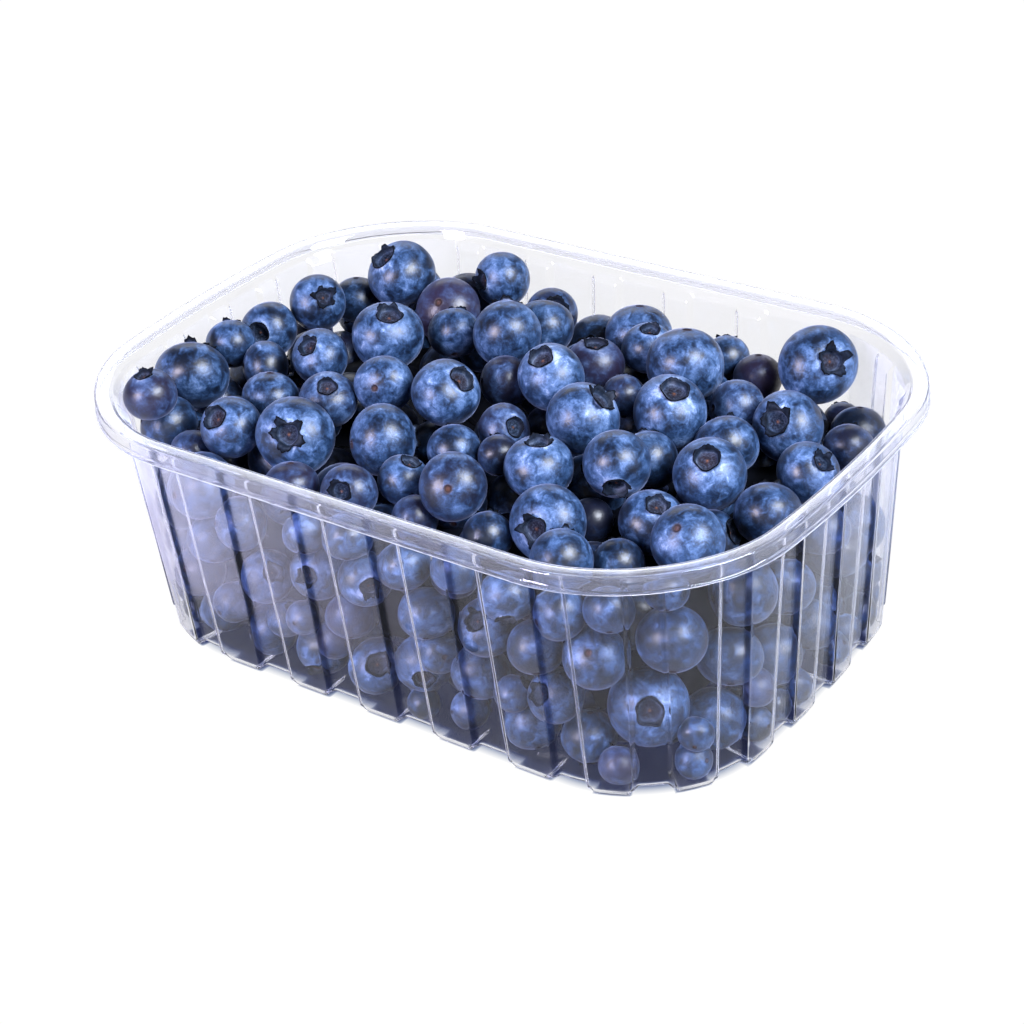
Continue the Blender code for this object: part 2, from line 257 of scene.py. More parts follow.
def make_clear_pet():
    """Clear PET, thermoformed from sheet: water-clear and glossy.

    The faces of the flutes have rubbed against other punnets and carry a faint
    haze.  The slanted sides between them carry painted shade, a darker bluer colour,
    and the sheet has a painted glow and a painted white reflection seen edge-on.
    """
    material, tree = new_material("clear_pet_thermoformed")
    place = add(tree, "ShaderNodeTexCoord")
    # Painted glow: the sheet emits a pale white where it is seen edge-on and on rays at their
    # seventh bounce, for light trapped in the sheet and for bright folds.
    path = add(tree, "ShaderNodeLightPath")
    deep_bounce_glow = add(tree, "ShaderNodeMath", {"operation": "COMPARE"}, values={1: 7.0, 2: 0.5},
                 links={0: path.outputs["Ray Depth"]})
    edge_on = add(tree, "ShaderNodeLayerWeight", values={"Blend": 0.5})
    edge_on_glow = add(tree, "ShaderNodeMath", {"operation": "POWER"}, values={1: 14.0},
                 links={0: edge_on.outputs["Facing"]})
    painted_glow = add(tree, "ShaderNodeMath", {"operation": "MULTIPLY_ADD"}, values={1: 0.7},
                links={0: edge_on_glow.outputs[0], 2: deep_bounce_glow.outputs[0]})
    # Painted shade: the slanted sides that show the gaps between the berries get a darker, bluer
    # base colour.
    turned = add(tree, "ShaderNodeAttribute", {"attribute_name": "turned"})
    flank_shade_colour = add(tree, "ShaderNodeMix", {"data_type": "RGBA"}, links={0: turned.outputs["Fac"]},
               values={6: linear("#f5f5f8"), 7: linear("#98a0c0")})
    # Its emission is the painted glow, and its base colour carries the painted shade of the slanted
    # sides.
    clear = add(tree, "ShaderNodeBsdfPrincipled", values={
        "Roughness": 0.03,
        "IOR": 1.40,
        "Transmission Weight": 1.0,
        "Emission Color": linear("#eceef6"),
    }, links={"Base Color": flank_shade_colour.outputs[2], "Emission Strength": painted_glow.outputs[0]})
    # Scuffs are drawn about 3 mm across, coarser than the real hairlines, so that they show.
    scuff = add(tree, "ShaderNodeTexNoise",
                values={"Scale": 330.0, "Detail": 4.0, "Roughness": 0.6},
                links={"Vector": place.outputs["Object"]})
    rubbed = add(tree, "ShaderNodeAttribute", {"attribute_name": "rubbed"})
    patchy = add(tree, "ShaderNodeMapRange", values={"To Min": 0.6, "To Max": 1.3},
                 links={"Value": scuff.outputs["Fac"]})
    haze = add(tree, "ShaderNodeMath", {"operation": "MULTIPLY"},
               links={0: rubbed.outputs["Fac"], 1: patchy.outputs["Result"]})
    # Painted reflection: seen edge-on, every fold and slanted side is mixed toward a white diffuse,
    # with the haze added, for the white surroundings mirrored at a grazing angle.
    painted_edge_sheen = add(tree, "ShaderNodeMath", {"operation": "POWER"}, values={1: 6.0},
                links={0: edge_on.outputs["Facing"]})
    white = add(tree, "ShaderNodeMath", {"operation": "MULTIPLY_ADD", "use_clamp": True},
                values={1: 0.75}, links={0: painted_edge_sheen.outputs[0], 2: haze.outputs[0]})
    front = add(tree, "ShaderNodeBsdfDiffuse", values={"Color": linear("#e6e9f9")})
    back = add(tree, "ShaderNodeBsdfTranslucent", values={"Color": linear("#eef0f8")})
    haze_and_painted_sheen = add(tree, "ShaderNodeMixShader", links={1: front.outputs[0], 2: back.outputs[0]})
    sheet = add(tree, "ShaderNodeMixShader",
                links={0: white.outputs[0], 1: clear.outputs[0], 2: haze_and_painted_sheen.outputs[0]})
    through = add(tree, "ShaderNodeBsdfTransparent", values={"Color": linear("#ced1d6")})
    shown = add(tree, "ShaderNodeMixShader", links={
        0: path.outputs["Is Shadow Ray"], 1: sheet.outputs[0], 2: through.outputs[0]})
    add(tree, "ShaderNodeOutputMaterial", links={"Surface": shown.outputs[0]})
    return material


def make_blueberry_skin():
    """Fresh blueberry skin, grown: navy, under a patchy coat of pale wax bloom.

    The bloom scatters light softly, and where it has been rubbed off the dark
    skin shines.  The crown is dry and nearly black, round a grey-brown disc.
    """
    material, tree = new_material("blueberry_skin_with_wax_bloom")
    place = add(tree, "ShaderNodeAttribute", {"attribute_name": "skin_place"}).outputs["Vector"]
    tone, parts = [add(tree, "ShaderNodeSeparateColor", links={
        0: add(tree, "ShaderNodeAttribute", {"attribute_name": name}).outputs["Color"]})
        for name in ("tone", "parts")]
    near = add(tree, "ShaderNodeAttribute", {"attribute_name": "near_crown"}).outputs["Fac"]
    # The places are in millimetres: cloudy bloom 5 mm across, rubbed blotches of
    # 2 mm, and specks of 0.5 mm, drawn a little coarser than the real wax grains.
    cloud, blotch, speck = [
        add(tree, "ShaderNodeTexNoise", links={"Vector": place}, values={
            "Scale": scale, "Detail": detail, "Roughness": roughness, "Distortion": distortion})
        for scale, detail, roughness, distortion in (
            (0.20, 2.0, 0.5, 0.6), (0.42, 4.0, 0.6, 0.9), (2.0, 3.0, 0.65, 0.0))]
    bloom = tone.outputs["Red"]
    for pattern, weight in ((cloud, 0.42), (blotch, 0.42), (speck, 0.18)):
        bloom = add(tree, "ShaderNodeMath", {"operation": "MULTIPLY_ADD"}, values={1: weight},
                    links={0: pattern.outputs["Fac"], 2: bloom}).outputs[0]
    coat = add(tree, "ShaderNodeMath", {"operation": "MULTIPLY_ADD", "use_clamp": True},
               values={1: 0.12}, links={0: near, 2: bloom})
    colour = add(tree, "ShaderNodeValToRGB", links={0: coat.outputs[0]}, stops=[
        (0.46, "#081120"), (0.53, "#15253e"), (0.60, "#294164"), (0.69, "#4e6892"),
        (0.82, "#a3b2d4")])
    plum = add(tree, "ShaderNodeMix", {"data_type": "RGBA", "blend_type": "MIX"},
               values={7: linear("#33273f")},
               links={0: tone.outputs["Green"], 6: colour.outputs["Color"]})
    # Disc and scar: corky, grey to brown, with a warmer spot in the middle.
    cork = add(tree, "ShaderNodeValToRGB", links={0: speck.outputs["Fac"]}, stops=[
        (0.35, "#0d121c"), (0.52, "#1e2737"), (0.70, "#3c475c")])
    brown = add(tree, "ShaderNodeMix", {"data_type": "RGBA"}, values={7: linear("#402b22")},
                links={0: tone.outputs["Blue"], 6: cork.outputs["Color"]})
    disc = add(tree, "ShaderNodeMix", {"data_type": "RGBA"},
               links={0: parts.outputs["Green"], 6: plum.outputs[2], 7: brown.outputs[2]})
    warm = add(tree, "ShaderNodeMix", {"data_type": "RGBA"}, values={7: linear("#6b4632")},
               links={0: parts.outputs["Blue"], 6: disc.outputs[2]})
    lobes = add(tree, "ShaderNodeMix", {"data_type": "RGBA"}, values={7: linear("#06070b")},
                links={0: parts.outputs["Red"], 6: warm.outputs[2]})
    dull = add(tree, "ShaderNodeMapRange",
               values={"From Min": 0.50, "From Max": 0.80, "To Min": 0.34, "To Max": 0.52},
               links={"Value": coat.outputs[0]})
    crown = add(tree, "ShaderNodeMath", {"operation": "MAXIMUM"}, links={
        0: parts.outputs["Red"], 1: parts.outputs["Green"]})
    dry = add(tree, "ShaderNodeMath", {"operation": "MULTIPLY_ADD", "use_clamp": True},
              values={1: 0.5}, links={0: crown.outputs[0], 2: dull.outputs["Result"]})
    relief = add(tree, "ShaderNodeMath", {"operation": "MULTIPLY_ADD"}, values={1: 0.5},
                 links={0: speck.outputs["Fac"], 2: blotch.outputs["Fac"]})
    bump = add(tree, "ShaderNodeBump", values={"Strength": 0.30, "Distance": 0.0002},
               links={"Height": relief.outputs[0]})
    # The dry crown takes no shine and no bloom.
    shine, powder = [
        add(tree, "ShaderNodeMapRange", values={"To Min": on_skin, "To Max": on_crown},
            links={"Value": crown.outputs[0]})
        for on_skin, on_crown in ((0.55, 0.1), (0.34, 0.0))]
    skin = add(tree, "ShaderNodeBsdfPrincipled", values={
        "IOR": 1.45,
        "Sheen Roughness": 0.3,
        "Sheen Tint": linear("#c3d0ff"),
    }, links={
        "Specular IOR Level": shine.outputs["Result"],
        "Sheen Weight": powder.outputs["Result"],
        "Base Color": lobes.outputs[2],
        "Roughness": dry.outputs[0],
        "Normal": bump.outputs["Normal"],
    })
    add(tree, "ShaderNodeOutputMaterial", links={"Surface": skin.outputs[0]})
    return material


def make_heap_shade():
    """Berries deep in the heap as painted shade: a near-black blue, so that gaps look dark."""
    material, tree = new_material("blueberry_painted_shade_deep_in_heap")
    place = add(tree, "ShaderNodeTexCoord")
    # Patches a berry wide, about 14 mm.
    patch = add(tree, "ShaderNodeTexNoise", values={"Scale": 70.0, "Detail": 3.0},
                links={"Vector": place.outputs["Object"]})
    colour = add(tree, "ShaderNodeValToRGB", links={0: patch.outputs["Fac"]}, stops=[
        (0.35, "#02040a"), (0.65, "#060c1c")])
    skin = add(tree, "ShaderNodeBsdfPrincipled",
               values={"Roughness": 0.8, "IOR": 1.42, "Specular IOR Level": 0.2},
               links={"Base Color": colour.outputs["Color"]})
    add(tree, "ShaderNodeOutputMaterial", links={"Surface": skin.outputs[0]})
    return material


# ---- meshes from arrays ---------------------------------------------------
def make_piece(name, points, quads, triangles, material, attributes=None):
    """A mesh object from arrays of points and faces, smooth, with its point attributes."""
    mesh = bpy.data.meshes.new(name)
    mesh.vertices.add(len(points))
    mesh.vertices.foreach_set("co", np.asarray(points, np.float32).ravel())
    corners = np.concatenate([np.asarray(quads, np.int32).ravel(),
                              np.asarray(triangles, np.int32).ravel()])
    mesh.loops.add(len(corners))
    mesh.loops.foreach_set("vertex_index", corners)
    sizes = np.array([4] * len(quads) + [3] * len(triangles), np.int32)
    mesh.polygons.add(len(sizes))
    starts = np.concatenate([[0], np.cumsum(sizes)[:-1]]).astype(np.int32)
    mesh.polygons.foreach_set("loop_start", starts)
    for key, (kind, field, values) in (attributes or {}).items():
        layer = mesh.attributes.new(key, kind, "POINT")
        layer.data.foreach_set(field, np.asarray(values, np.float32).ravel())
    mesh.update(calc_edges=True)
    mesh.validate()
    mesh.shade_smooth()
    mesh.materials.append(material)
    piece = bpy.data.objects.new(name, mesh)
    bpy.context.scene.collection.objects.link(piece)
    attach(piece, "root")
    return piece


def ring_quads(rings, count):
    """Quads between each closed ring of points and the next."""
    here = np.arange(count)
    after = (here + 1) % count
    return np.vstack([
        np.stack([low + here, low + after, low + count + after, low + count + here], axis=1)
        for low in range(0, (rings - 1) * count, count)])


# ---- the rim's outline ----------------------------------------------------
class RimLine:
    """The rim's outer edge by length, from the middle of the -Y side, anticlockwise.

    The steps are fine, because coarse ones show as streaks in the clear rim.
    """

    def __init__(self, steps=1440):
        half_x, half_y = RIM_LENGTH / 2 - END_BOW, RIM_WIDTH / 2
        straight_x, straight_y = half_x - CORNER_RADIUS, half_y - CORNER_RADIUS
        turn = np.linspace(0, math.pi / 2, steps)
        runs = []
        for quarter, (side_x, side_y) in enumerate(((1, 1), (-1, 1), (-1, -1), (1, -1))):
            angle = turn + quarter * math.pi / 2
            runs.append(np.stack([side_x * straight_x + CORNER_RADIUS * np.cos(angle),
                                  side_y * straight_y + CORNER_RADIUS * np.sin(angle)], axis=1))
        points = []
        for run, after in zip(runs, runs[1:] + runs[:1]):
            share = np.linspace(0, 1, steps + 1)[1:-1, None]
            points += [run, run[-1] + (after[0] - run[-1]) * share]
        points = np.vstack(points)
        bow = 1 - np.minimum(np.abs(points[:, 1]) / half_y, 1) ** 2
        reach = np.minimum(np.abs(points[:, 0]) / half_x, 1)
        points[:, 0] += np.copysign(END_BOW * bow * reach, points[:, 0])
        start = np.argmin(np.abs(points[:, 0]) + 10 * (points[:, 1] > 0))
        points = np.roll(points, -start, axis=0)
        self.points = np.vstack([points, points[:1]])
        hops = np.linalg.norm(np.diff(self.points, axis=0), axis=1)
        self.lengths = np.concatenate([[0.0], np.cumsum(hops)])
        self.total = self.lengths[-1]

    def place(self, length):
        length = np.mod(length, self.total)
        return np.stack([np.interp(length, self.lengths, self.points[:, k]) for k in (0, 1)],
                        axis=-1)

    def outward(self, length, reach=0.8 * MM):
        along = self.place(length + reach) - self.place(length - reach)
        along /= np.linalg.norm(along, axis=-1, keepdims=True)
        return np.stack([along[..., 1], -along[..., 0]], axis=-1)


def wall_inset(height, more=0.0):
    """How far the wall's inner face lies behind the rim's edge at a height."""
    share = np.clip((RECESS_TOP - height) / (RECESS_TOP - RECESS_FOOT), 0, 1)
    return TOP_INSET + (FOOT_INSET - TOP_INSET) * share + FLUTE_DEPTH + WALL + more


# ---- the punnet -----------------------------------------------------------
def flute_centres(rim):
    """Each flute's centre as a length along the rim's edge."""
    quarter = rim.total / 4
    long_side = [0, LONG_PITCH, 2 * LONG_PITCH]
    short_side = [quarter - 1.5 * SHORT_PITCH, quarter - 0.5 * SHORT_PITCH]
    gap = (short_side[0] - long_side[-1]) / (CORNER_FLUTES + 1)
    corner = [long_side[-1] + gap * (k + 1) for k in range(CORNER_FLUTES)]
    centres = set()
    for length in long_side + corner + short_side:
        for mirrored in (length, 2 * quarter - length, 2 * quarter + length, -length):
            centres.add(round(mirrored % rim.total, 7))
    return sorted(centres)


def off_flutes(rim, lengths):
    """How far each length lies from each flute's centre, along the rim."""
    centres = np.array(flute_centres(rim))
    return np.abs((lengths[:, None] - centres + rim.total / 2) % rim.total - rim.total / 2)


def standing(offset, rounding=0.30):
    """A flute's side as a share from 0 to 1, both folds rounded; offset in runs of the side."""
    low = np.clip(offset + 0.5 + rounding, 0, 2 * rounding) ** 2 / (4 * rounding)
    high = np.clip(offset - 0.5 + rounding, 0, 2 * rounding) ** 2 / (4 * rounding)
    ramp = np.clip(offset + 0.5 - rounding, 0, 1 - 2 * rounding)
    beyond = np.where(offset < 0.5 - rounding, ramp, 1 - 2 * rounding)
    tail = np.clip(offset - 0.5 + rounding, 0, 2 * rounding)
    return np.clip(low + beyond + tail - high, 0, 1)


def upright_lines(rim):
    """Columns of (length at the top, length at the foot, how far a flute stands out, its side)."""
    across = np.array([-0.86, -0.62, -0.42, -0.18, 0.18, 0.42, 0.62, 0.86])
    centres = flute_centres(rim)
    lines = []
    for index, centre in enumerate(centres):
        before = (centre - centres[index - 1]) % rim.total
        after = (centres[(index + 1) % len(centres)] - centre) % rim.total
        lefts = [-before * share / 2 + FLUTE_STEP / 2 for share in FLUTE_SHARES]
        rights = [after * share / 2 - FLUTE_STEP / 2 for share in FLUTE_SHARES]
        for offset in across:
            lines.append([centre + left + offset * FLUTE_STEP for left in lefts]
                         + [standing(offset), -1.0])
        for share in (0.13, 0.19, 0.26, 0.5, 0.74, 0.81, 0.87):
            lines.append([centre + left + (right - left) * share
                          for left, right in zip(lefts, rights)] + [1.0, 0.0])
        for offset in across[::-1]:
            lines.append([centre + right - offset * FLUTE_STEP for right in rights]
                         + [standing(offset), 1.0])
        for share in (-0.25, 0.0, 0.25):
            lines.append([centre + after / 2 + share * after * (1 - part)
                          for part in FLUTE_SHARES] + [0.0, 0.0])
    return np.array(lines, float)


def foot_lift(rim, lines):
    """How far each foot's underside is lifted at each column: its lower corners are round."""
    off = off_flutes(rim, lines[:, 1])
    away = off.min(axis=1)
    nearest = off.argmin(axis=1)
    # The foot is as wide as its flute, short of the slanted sides.
    edge = np.where((lines[:, 2] > 0) & (lines[:, 2] < 1), away, np.inf)
    half = np.array([edge[nearest == k].min() for k in range(off.shape[1])])[nearest]
    inside = np.clip((half - away) / FOOT_CORNER, 0, 1)
    return (BASE_LEVEL - FEET) * (1 - np.sqrt(1 - (1 - inside) ** 2))


def rounded(path, radii, bends=4):
    """A path with every corner turned on a small curve of the given radius."""
    path = [np.array(point, float) for point in path]
    made = [path[0]]
    for before, here, after, radius in zip(path, path[1:], path[2:], radii):
        towards = before - here
        away = after - here
        start = here + towards * min(0.48, radius / max(np.linalg.norm(towards[:2]), 1e-9))
        end = here + away * min(0.48, radius / max(np.linalg.norm(away[:2]), 1e-9))
        for k in range(bends + 1):
            t = k / bends
            made.append((1 - t) ** 2 * start + 2 * t * (1 - t) * here + t ** 2 * end)
    return made + [path[-1]]


def sheet_normals(grid):
    """The outward normal at each point of a closed band of rings, whose steps are uneven."""
    def leaning(before, here, after):
        back = np.linalg.norm(here - before, axis=2, keepdims=True)
        ahead = np.linalg.norm(after - here, axis=2, keepdims=True)
        return ((here - before) * ahead / np.maximum(back, 1e-9)
                + (after - here) * back / np.maximum(ahead, 1e-9))

    along = leaning(np.roll(grid, 1, axis=1), grid, np.roll(grid, -1, axis=1))
    up = np.empty_like(grid)
    up[1:-1] = leaning(grid[:-2], grid[1:-1], grid[2:])
    up[0] = grid[1] - grid[0]
    up[-1] = grid[-1] - grid[-2]
    along /= np.linalg.norm(along, axis=2, keepdims=True)
    up /= np.linalg.norm(up, axis=2, keepdims=True)
    normals = np.cross(along, up)
    return normals / np.maximum(np.linalg.norm(normals, axis=2, keepdims=True), 1e-12)


def make_punnet(rim, material):
    """The formed sheet: base, feet, fluted wall, flat rim and turned-down skirt."""
    run_in = FOOT_INSET + FOOT_ROUND + FOOT_LENGTH
    shoulder = RIM_TOP - SHOULDER
    under = RIM_TOP - WALL
    # Each fold is (inset, height, share of the way to the foot) on a flute's face, then
    # between two flutes where that differs, and the radius that the sheet is folded on.
    folds = [
        ((run_in + 13 * MM, BASE_LEVEL, 1), 0),
        ((run_in + 1.6 * MM, BASE_LEVEL, 1), 0.5),
        ((run_in, FEET, 1), (run_in, BASE_LEVEL, 1), 0.5),
        ((FOOT_INSET + FOOT_ROUND, FEET, 1),
         (FOOT_INSET + FLUTE_DEPTH + 0.6 * MM, BASE_LEVEL, 1), 0.9),
        ((FOOT_INSET, BASE_LEVEL, 1), (FOOT_INSET + FLUTE_DEPTH, RECESS_FOOT, 1), 0.8),
        ((TOP_INSET, shoulder - 1.2 * MM, 0), (TOP_INSET + FLUTE_DEPTH, RECESS_TOP, 0), 0.7),
        ((TOP_INSET - 0.5 * MM, shoulder, 0), 0.9),
        ((FLANGE + WALL, under, 0), 0.7),
        ((WALL, under, 0), 0.35),
        ((WALL, RIM_TOP - SKIRT_STEP, 0), (WALL, RIM_TOP - SKIRT_STEP_AT_CORNERS, 0), 0.15),
        ((WALL - SKIRT_FLARE, RIM_TOP - SKIRT_STEP - 0.35 * MM, 0),
         (WALL - SKIRT_FLARE, RIM_TOP - SKIRT_STEP_AT_CORNERS - 0.15 * MM, 0), 0.15),
        ((WALL - SKIRT_FLARE, RIM_TOP - SKIRT_DROP, 0), 0),
    ]
    radii = [fold[-1] * MM for fold in folds[1:-1]]
    face = np.array(rounded([fold[0] for fold in folds], radii))
    plain = np.array(rounded([fold[-2] for fold in folds], radii))
    skirt_from = len(face) - 12
    lines = upright_lines(rim)
    lift = foot_lift(rim, lines)
    rings = []
    for index in range(len(face) - 1):
        # The wall is the one tall run, and takes ten rings.
        hops = 10 if face[index + 1][1] - face[index][1] > 20 * MM else 1
        for t in np.arange(hops) / hops:
            rings.append((face[index] * (1 - t) + face[index + 1] * t,
                          plain[index] * (1 - t) + plain[index + 1] * t, index >= skirt_from))
    rings.append((face[-1], plain[-1], True))
    rows = []
    rubbed = []
    turned = []
    for on_face, between, in_skirt in rings:
        share = lines[:, 2]
        length = lines[:, 0] + (lines[:, 1] - lines[:, 0]) * on_face[2]
        outward = rim.outward(length)
        if in_skirt:
            # The step in the skirt runs down into its lower edge round each corner.
            corner = np.clip((np.abs(outward).min(axis=1) - 0.15) / 0.35, 0, 1)
            share = 1 - corner * corner * (3 - 2 * corner)
        inset = between[0] + (on_face[0] - between[0]) * share
        height = between[1] + (on_face[1] - between[1]) * share
        if on_face[1] < BASE_LEVEL:
            height = np.maximum(height, FEET + lift)
        # A formed sheet is never quite flat: it wanders a little, below the rim.
        below_rim = np.clip((inset - 6.2 * MM) / (2 * MM), 0, 1)
        inset = inset + WANDER * below_rim * np.sin(length / (4.1 * MM) + height / (7.0 * MM))
        flat = rim.place(length) - outward * inset[:, None]
        rows.append(np.column_stack([flat, height]))
        # Nested punnets rub on each other's flats, above the height that they slide in to.
        nested = np.clip((height - NESTED_FROM) / (4 * MM), 0, 1) * (on_face[1] < shoulder)
        flats = np.clip(np.abs(lines[:, 2] - 0.5) * 2, 0, 1) ** 8
        towards_minus_x = (np.clip((25 * MM - flat[:, 0]) / (100 * MM), 0, 1) ** 1.5
                   * np.clip((-30 * MM - flat[:, 1]) / (20 * MM), 0.15, 1))
        worn = np.clip((flat[:, 1] + 25 * MM) / (90 * MM), 0, 1) * (flat[:, 0] > 60 * MM)
        # Painted shade is marked on the slanted sides that face the near corner, for the dark gaps
        # seen through them.
        facing = lines[:, 3] * (NEAR_CORNER[1] * outward[:, 0] - NEAR_CORNER[0] * outward[:, 1])
        slanted = np.clip(6 * lines[:, 2] * (1 - lines[:, 2]), 0, 1) * (outward @ NEAR_CORNER > 0)
        on_wall = (BASE_LEVEL < height) * (on_face[1] < shoulder)
        turned.append(slanted * np.clip(2 * facing, 0, 1) * on_wall)
        on_rim = np.clip((FLANGE + WALL + 0.3 * MM - inset) / (0.3 * MM), 0, 1)
        rubbed.append(RUB_LEAST + RUB_RIM * on_rim
                      + nested * flats * (RUB_EVERYWHERE + RUB_TOWARDS_MINUS_X * towards_minus_x + RUB_WORN * worn))
    grid = np.array(rows)
    normals = sheet_normals(grid)
    inner = grid - normals * WALL
    count = len(lines)
    ring = np.arange(count)
    after = (ring + 1) % count
    layers = len(rows)
    outside = ring_quads(layers, count)
    # The two faces of the sheet meet at the skirt's lower edge, and close over the base.
    edge = (layers - 1) * count
    lip = layers * count + edge
    quads = np.vstack([outside, outside[:, ::-1] + layers * count,
                       np.stack([edge + ring, edge + after, lip + after, lip + ring], axis=1)])
    points = np.vstack([grid.reshape(-1, 3), inner.reshape(-1, 3),
                        [[0, 0, BASE_LEVEL], [0, 0, BASE_LEVEL + WALL]]])
    middle = len(points) - 2
    triangles = np.vstack([
        np.stack([after, ring, np.full(count, middle)], axis=1),
        np.stack([ring, after, np.full(count, middle + 1)], axis=1) + [[layers * count] * 2 + [0]],
    ])
    haze = np.concatenate(rubbed)
    dark = np.concatenate(turned)
    punnet = make_piece("punnet_sheet", points, quads, triangles, material, {
        "rubbed": ("FLOAT", "value", np.concatenate([haze, haze, [0.012, 0.012]])),
        "turned": ("FLOAT", "value", np.concatenate([dark, dark, [0, 0]]))})
    # True normals keep the lines of light along the rim clean.
    faces_out, faces_in = normals.copy(), -normals
    for side in (faces_out, faces_in):
        side[-1] = (side[-1] + [0, 0, -1]) / math.sqrt(2)
    punnet.data.normals_split_custom_set_from_vertices(np.vstack([
        faces_out.reshape(-1, 3), faces_in.reshape(-1, 3), [[0, 0, -1], [0, 0, 1]]]).tolist())
    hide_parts("punnet")
    return punnet


# ---- one berry ------------------------------------------------------------
# Each look is (crown's radius, depth of its disc, reach of its lobes, their lean out).
# Sizes are shares of the berry's radius, as (least, most).
LOOKS = {
    "star": ((0.29, 0.35), (0.14, 0.19), (0.08, 0.22), (0.55, 0.95)),
    "open": ((0.33, 0.40), (0.13, 0.18), (0.02, 0.13), (0.20, 0.70)),
    "stem": ((0.30, 0.38), (0.10, 0.14), (0.05, 0.16), (0.50, 1.00)),
    "away": ((0.30, 0.40), (0.10, 0.14), (0.05, 0.18), (0.50, 1.00)),
}


def crown_lobes(angle, rng, reach):
    """How far the crown stands at each angle: five ragged points with notches between them."""
    stand = np.full(len(angle), 0.02)
    turn = rng.uniform(0, 2 * math.pi)
    for lobe in range(5):
        centre = turn + (lobe + rng.uniform(-0.16, 0.16)) * 2 * math.pi / 5
        half = math.pi / 5 * rng.uniform(0.55, 0.95)
        height = rng.uniform(*reach)
        away = np.abs((angle - centre + math.pi) % (2 * math.pi) - math.pi) / half
        stand = np.maximum(stand, 0.02 + height * np.clip(1 - away, 0, 1) ** 0.55)
    return stand * (1 + 0.35 * np.sin(11 * angle + turn) * np.sin(7 * angle))


def berry_form(rng, look, columns, skin_rings):
    """One berry of radius 1 with its crown up: points, quads, triangles and marks."""
    (crown, depth, reach, lean) = [rng.uniform(*span) if k != 2 else span
                                   for k, span in enumerate(LOOKS[look])]
    angle = np.linspace(0, 2 * math.pi, columns, endpoint=False)
    tall = rng.uniform(0.86, 0.95)
    power = rng.uniform(0.90, 0.98)
    stand = crown_lobes(angle, rng, reach)
    ragged = (1 + 0.05 * np.sin(3 * angle + rng.uniform(0, 6))
              + 0.04 * np.sin(5 * angle + rng.uniform(0, 6)))
    edge = crown * ragged
    start = math.asin(min(crown * 1.10, 0.9) ** (1 / power))
    level = tall * math.cos(start) ** power
    rows = []

    def ring(radius, height, lobe=0.0, disc=0.0, dot=0.0):
        radius = np.broadcast_to(radius, angle.shape)
        height = np.broadcast_to(height, angle.shape)
        rows.append((radius, height, lobe, disc, dot))

    floor = level - depth
    ring(0.05 * edge, floor + 0.020, disc=1, dot=0.6)
    ring(0.12 * edge, floor + 0.012, disc=1, dot=0.2)
    ring(0.22 * edge, floor - 0.006, disc=1)
    ring(0.50 * edge, floor, disc=1)
    ring(0.74 * edge, floor + 0.008, disc=0.9)
    ring(0.83 * edge, floor + 0.35 * depth, lobe=0.75, disc=0.25)
    ring(0.90 * edge, level - 0.005, lobe=0.95)
    ring(0.95 * edge + 0.45 * lean * stand, level + 0.55 * stand, lobe=0.92)
    ring(0.98 * edge + lean * stand, level + stand * (1.15 - 0.55 * lean), lobe=1)
    ring(1.02 * edge + lean * stand, level + stand * (1.10 - 0.60 * lean) - 0.012, lobe=1)
    ring(1.04 * edge + 0.45 * lean * stand, level + 0.38 * stand - 0.006, lobe=0.95)
    ring(1.06 * edge, level - 0.004, lobe=0.45)
    finish = math.pi - math.asin(0.20)
    for t in np.linspace(start + 0.05, finish, skin_rings):
        ring(math.sin(t) ** power, math.copysign(tall * abs(math.cos(t)) ** power, math.cos(t)))
    for radius, sink, mark, dark in (
            (0.150, -0.010, 0.1, 0.0), (0.120, -0.018, 0.5, 0.25), (0.095, 0.012, 0.8, 0.7),
            (0.060, 0.035, 1.0, 0.2), (0.02, 0.030, 1.0, 0.0)):
        ring(radius, -tall * (1 - radius ** 2) ** (power / 2) + sink,
             lobe=dark, disc=0.9 * mark, dot=0.25 * mark)

    radius = np.array([row[0] for row in rows])
    height = np.array([row[1] for row in rows])
    points = np.stack([radius * np.cos(angle), radius * np.sin(angle), height], axis=-1)
    marks = np.array([[row[2], row[3], row[4]] for row in rows])
    marks = np.repeat(marks[:, None, :], columns, axis=1)
    near = np.exp(-np.clip(radius - 1.1 * crown, 0, 9) / 0.16) * (height > 0)
    points = points.reshape(-1, 3)
    marks = marks.reshape(-1, 3)
    near = near.reshape(-1)
    poles = np.array([[0, 0, floor + 0.022], [0, 0, -tall + 0.028]])
    points = np.vstack([points, poles])
    marks = np.vstack([marks, [[0, 1, 1], [0, 0.9, 0.25]]])
    near = np.append(near, [1.0, 0.0])
    # No berry is quite round: it swells and flattens a little here and there.
    lumps = np.zeros(len(points))
    for _ in range(4):
        way = rng.normal(size=3)
        way /= np.linalg.norm(way)
        lumps += rng.uniform(0.006, 0.016) * np.sin(
            rng.uniform(1.6, 3.4) * points @ way + rng.uniform(0, 6))
    points *= (1 + lumps)[:, None]
    points[:, 0] *= rng.uniform(0.96, 1.03)
    points[:, 1] *= rng.uniform(0.96, 1.03)
    return points, marks, near


def berry_faces(columns, ring_count):
    """Quads between a berry's rings and triangles at its two poles."""
    here = np.arange(columns)
    after = (here + 1) % columns
    top = ring_count * columns
    last = (ring_count - 1) * columns
    triangles = np.vstack([
        np.stack([np.full(columns, top), here, after], axis=1),
        np.stack([np.full(columns, top + 1), last + after, last + here], axis=1),
    ])
    return ring_quads(ring_count, columns)[:, [0, 3, 2, 1]], triangles


CROWN_RINGS = 12
SCAR_RINGS = 5


def turn_to(direction, spin):
    """Rotation that brings +Z to a direction, after a spin about it."""
    direction = Vector(direction).normalized()
    turn = direction.to_track_quat("Z", "Y").to_matrix() @ Matrix.Rotation(spin, 3, "Z")
    return np.array(turn)


